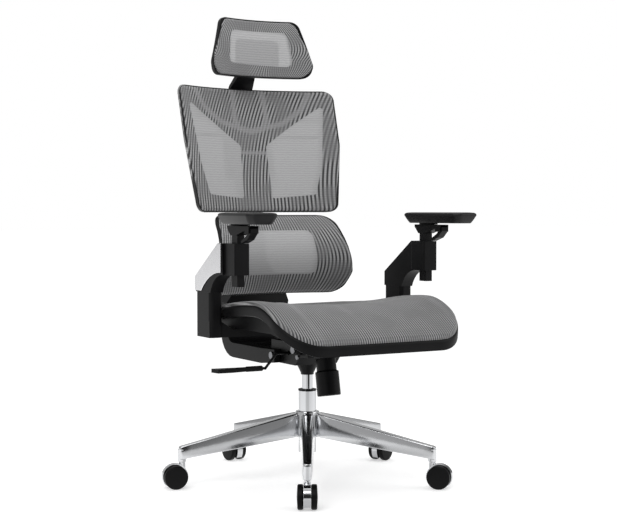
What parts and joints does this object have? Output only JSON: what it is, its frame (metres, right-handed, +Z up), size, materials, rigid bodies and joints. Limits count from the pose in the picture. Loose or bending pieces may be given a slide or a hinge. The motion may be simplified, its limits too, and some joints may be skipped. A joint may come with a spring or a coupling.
{
  "type": "gaming chair",
  "caption": "High-back swivel chair with mesh seat, lumbar panel, back and headrest, adjustable arms and a polished star base on twin-wheel casters.",
  "frame": {"origin": "on the floor under the axis of the gas lift", "axes": "+Z up, the seat faces -Y, +X is on the left of a person sitting in the chair"},
  "size_m": [0.7358, 0.7557, 1.226],
  "materials": {
    "polished_aluminium": "polished cast aluminium",
    "chrome": "chromed steel",
    "steel": "zinc plated",
    "spring_steel": "oiled",
    "black_nylon": "moulded satin",
    "painted_steel": "satin powder coat",
    "silver_trim": "bright plated",
    "mesh_fabric": "open elastic mesh",
    "soft_pad": "soft moulded",
    "wheel_tread": "moulded tread"
  },
  "bodies": {
    "base": {"star_base": "polished_aluminium", "gas_tube": "chrome", "guide_bush": "black_nylon", "piston_rod": "steel", "thrust_bearing": "steel", "retaining_clip": "steel"},
    "lift": {"gas_cylinder": "chrome"},
    "button": {"release_button": "steel"},
    "mechanism": {"mech_housing": "painted_steel", "pivot_shafts": "steel", "tension_spring": "spring_steel", "mech_bolts": "steel"},
    "knob": {"tension_knob": "black_nylon"},
    "lever": {"lever_rod": "painted_steel", "lever_grip": "black_nylon"},
    "seat_carrier": {"seat_plate": "painted_steel", "arm_foot_left": "black_nylon", "arm_foot_right": "black_nylon", "arm_upright_left": "black_nylon", "arm_upright_right": "black_nylon", "arm_trim_left": "silver_trim", "arm_trim_right": "silver_trim", "bracket_bolts": "steel"},
    "seat": {"seat_frame": "black_nylon", "seat_mesh": "mesh_fabric", "seat_pan": "black_nylon", "seat_screws": "steel"},
    "recliner": {"back_yoke": "black_nylon", "lumbar_pin": "steel"},
    "lumbar_arm": {"lumbar_bracket": "black_nylon", "lumbar_frame": "black_nylon", "lumbar_mesh": "mesh_fabric"},
    "upper_back": {"back_carrier": "black_nylon", "back_frame": "black_nylon", "back_mesh": "mesh_fabric"},
    "neck": {"headrest_neck": "black_nylon"},
    "headrest": {"headrest_plate": "black_nylon", "headrest_frame": "black_nylon", "headrest_mesh": "mesh_fabric"},
    "arm_left": {"arm_post_left": "black_nylon"},
    "trigger_left": {"arm_trigger_left": "black_nylon"},
    "turn_left": {"pad_swivel_left": "black_nylon"},
    "pad_left": {"arm_pad_left": "soft_pad"},
    "arm_right": {"arm_post_right": "black_nylon"},
    "trigger_right": {"arm_trigger_right": "black_nylon"},
    "turn_right": {"pad_swivel_right": "black_nylon"},
    "pad_right": {"arm_pad_right": "soft_pad"},
    "caster_1": {"caster_body_1": "chrome"},
    "wheels_1": {"caster_wheels_1": "wheel_tread"},
    "caster_2": {"caster_body_2": "chrome"},
    "wheels_2": {"caster_wheels_2": "wheel_tread"},
    "caster_3": {"caster_body_3": "chrome"},
    "wheels_3": {"caster_wheels_3": "wheel_tread"},
    "caster_4": {"caster_body_4": "chrome"},
    "wheels_4": {"caster_wheels_4": "wheel_tread"},
    "caster_5": {"caster_body_5": "chrome"},
    "wheels_5": {"caster_wheels_5": "wheel_tread"}
  },
  "joints": [
    {"name": "height_lift", "type": "slide", "parent": "base", "child": "lift", "axis": [0, 0, 1], "range_m": [-0.035, 0.06]},
    {"name": "seat_swivel", "type": "hinge", "parent": "lift", "child": "mechanism", "pos_m": [0, 0, 0.3], "axis": [0, 0, 1], "continuous": true},
    {"name": "button_press", "type": "slide", "parent": "lift", "child": "button", "axis": [0, 0, 1], "range_m": [-0.005, 0], "stiffness_N_per_m": 2000},
    {"name": "knob_turn", "type": "hinge", "parent": "mechanism", "child": "knob", "pos_m": [0, -0.093, 0.327], "axis": [0, 0.1908, 0.9816], "continuous": true},
    {"name": "lever_lift", "type": "hinge", "parent": "mechanism", "child": "lever", "pos_m": [-0.045, -0.012, 0.337], "axis": [0, 1, 0], "range_deg": [0, 6], "stiffness_Nm_per_rad": 10, "springref_deg": -5.73},
    {"name": "recline", "type": "hinge", "parent": "mechanism", "child": "recliner", "pos_m": [0, 0.045, 0.326], "axis": [-1, 0, 0], "range_deg": [0, 22], "stiffness_Nm_per_rad": 120, "springref_deg": -20.05},
    {"name": "seat_tilt", "type": "hinge", "parent": "mechanism", "child": "seat_carrier", "pos_m": [0, -0.07, 0.35], "axis": [-1, 0, 0], "range_deg": [0, 6.6]},
    {"name": "seat_slide", "type": "slide", "parent": "seat_carrier", "child": "seat", "axis": [0, -1, 0], "range_m": [0, 0.05]},
    {"name": "lumbar_tilt", "type": "hinge", "parent": "recliner", "child": "lumbar_arm", "pos_m": [0, 0.258, 0.514], "axis": [1, 0, 0], "range_deg": [-4, 4]},
    {"name": "back_height", "type": "slide", "parent": "recliner", "child": "upper_back", "axis": [0, 0, 1], "range_m": [0, 0.05]},
    {"name": "headrest_height", "type": "slide", "parent": "upper_back", "child": "neck", "axis": [0, 0, 1], "range_m": [0, 0.04]},
    {"name": "headrest_tilt", "type": "hinge", "parent": "neck", "child": "headrest", "pos_m": [0, 0.316, 1.114], "axis": [1, 0, 0], "range_deg": [-15, 12]},
    {"name": "arm_height_left", "type": "slide", "parent": "seat_carrier", "child": "arm_left", "axis": [0, 0, 1], "range_m": [-0.018, 0.05]},
    {"name": "trigger_left", "type": "hinge", "parent": "arm_left", "child": "trigger_left", "pos_m": [0.274, -0.216, 0.654], "axis": [1, 0, 0], "range_deg": [0, 8], "stiffness_Nm_per_rad": 0.5, "springref_deg": -5.73},
    {"name": "pad_turn_left", "type": "hinge", "parent": "arm_left", "child": "turn_left", "pos_m": [0.274, -0.154, 0.666], "axis": [0, 0, 1], "range_deg": [-15, 15]},
    {"name": "pad_slide_left", "type": "slide", "parent": "turn_left", "child": "pad_left", "axis": [0.1045, -0.9945, 0], "range_m": [-0.03, 0.03]},
    {"name": "arm_height_right", "type": "slide", "parent": "seat_carrier", "child": "arm_right", "axis": [0, 0, 1], "range_m": [-0.018, 0.05]},
    {"name": "trigger_right", "type": "hinge", "parent": "arm_right", "child": "trigger_right", "pos_m": [-0.274, -0.216, 0.654], "axis": [1, 0, 0], "range_deg": [0, 8], "stiffness_Nm_per_rad": 0.5, "springref_deg": -5.73},
    {"name": "pad_turn_right", "type": "hinge", "parent": "arm_right", "child": "turn_right", "pos_m": [-0.274, -0.154, 0.666], "axis": [0, 0, 1], "range_deg": [-15, 15]},
    {"name": "pad_slide_right", "type": "slide", "parent": "turn_right", "child": "pad_right", "axis": [-0.1045, -0.9945, 0], "range_m": [-0.03, 0.03]},
    {"name": "caster_swivel_1", "type": "hinge", "parent": "base", "child": "caster_1", "pos_m": [-0.1665, -0.28839, 0.067], "axis": [0, 0, 1], "continuous": true},
    {"name": "wheel_roll_1", "type": "hinge", "parent": "caster_1", "child": "wheels_1", "pos_m": [-0.176, -0.30484, 0.03], "axis": [0.866, -0.5, 0], "continuous": true},
    {"name": "caster_swivel_2", "type": "hinge", "parent": "base", "child": "caster_2", "pos_m": [0.22282, -0.24747, 0.067], "axis": [0, 0, 1], "continuous": true},
    {"name": "wheel_roll_2", "type": "hinge", "parent": "caster_2", "child": "wheels_2", "pos_m": [0.23553, -0.26159, 0.03], "axis": [0.7431, 0.6691, 0], "continuous": true},
    {"name": "caster_swivel_3", "type": "hinge", "parent": "base", "child": "caster_3", "pos_m": [0.30421, 0.13544, 0.067], "axis": [0, 0, 1], "continuous": true},
    {"name": "wheel_roll_3", "type": "hinge", "parent": "caster_3", "child": "wheels_3", "pos_m": [0.32157, 0.14317, 0.03], "axis": [-0.4067, 0.9135, 0], "continuous": true},
    {"name": "caster_swivel_4", "type": "hinge", "parent": "base", "child": "caster_4", "pos_m": [-0.03481, 0.33118, 0.067], "axis": [0, 0, 1], "continuous": true},
    {"name": "wheel_roll_4", "type": "hinge", "parent": "caster_4", "child": "wheels_4", "pos_m": [-0.03679, 0.35007, 0.03], "axis": [-0.9945, -0.1045, 0], "continuous": true},
    {"name": "caster_swivel_5", "type": "hinge", "parent": "base", "child": "caster_5", "pos_m": [-0.32572, 0.06923, 0.067], "axis": [0, 0, 1], "continuous": true},
    {"name": "wheel_roll_5", "type": "hinge", "parent": "caster_5", "child": "wheels_5", "pos_m": [-0.34431, 0.07318, 0.03], "axis": [-0.2079, -0.9781, 0], "continuous": true}
  ],
  "couplings": [
    {"joint": "button_press", "follows": "lever_lift", "m_per_rad": -0.045},
    {"joint": "seat_tilt", "follows": "recline", "ratio": 0.3}
  ]
}
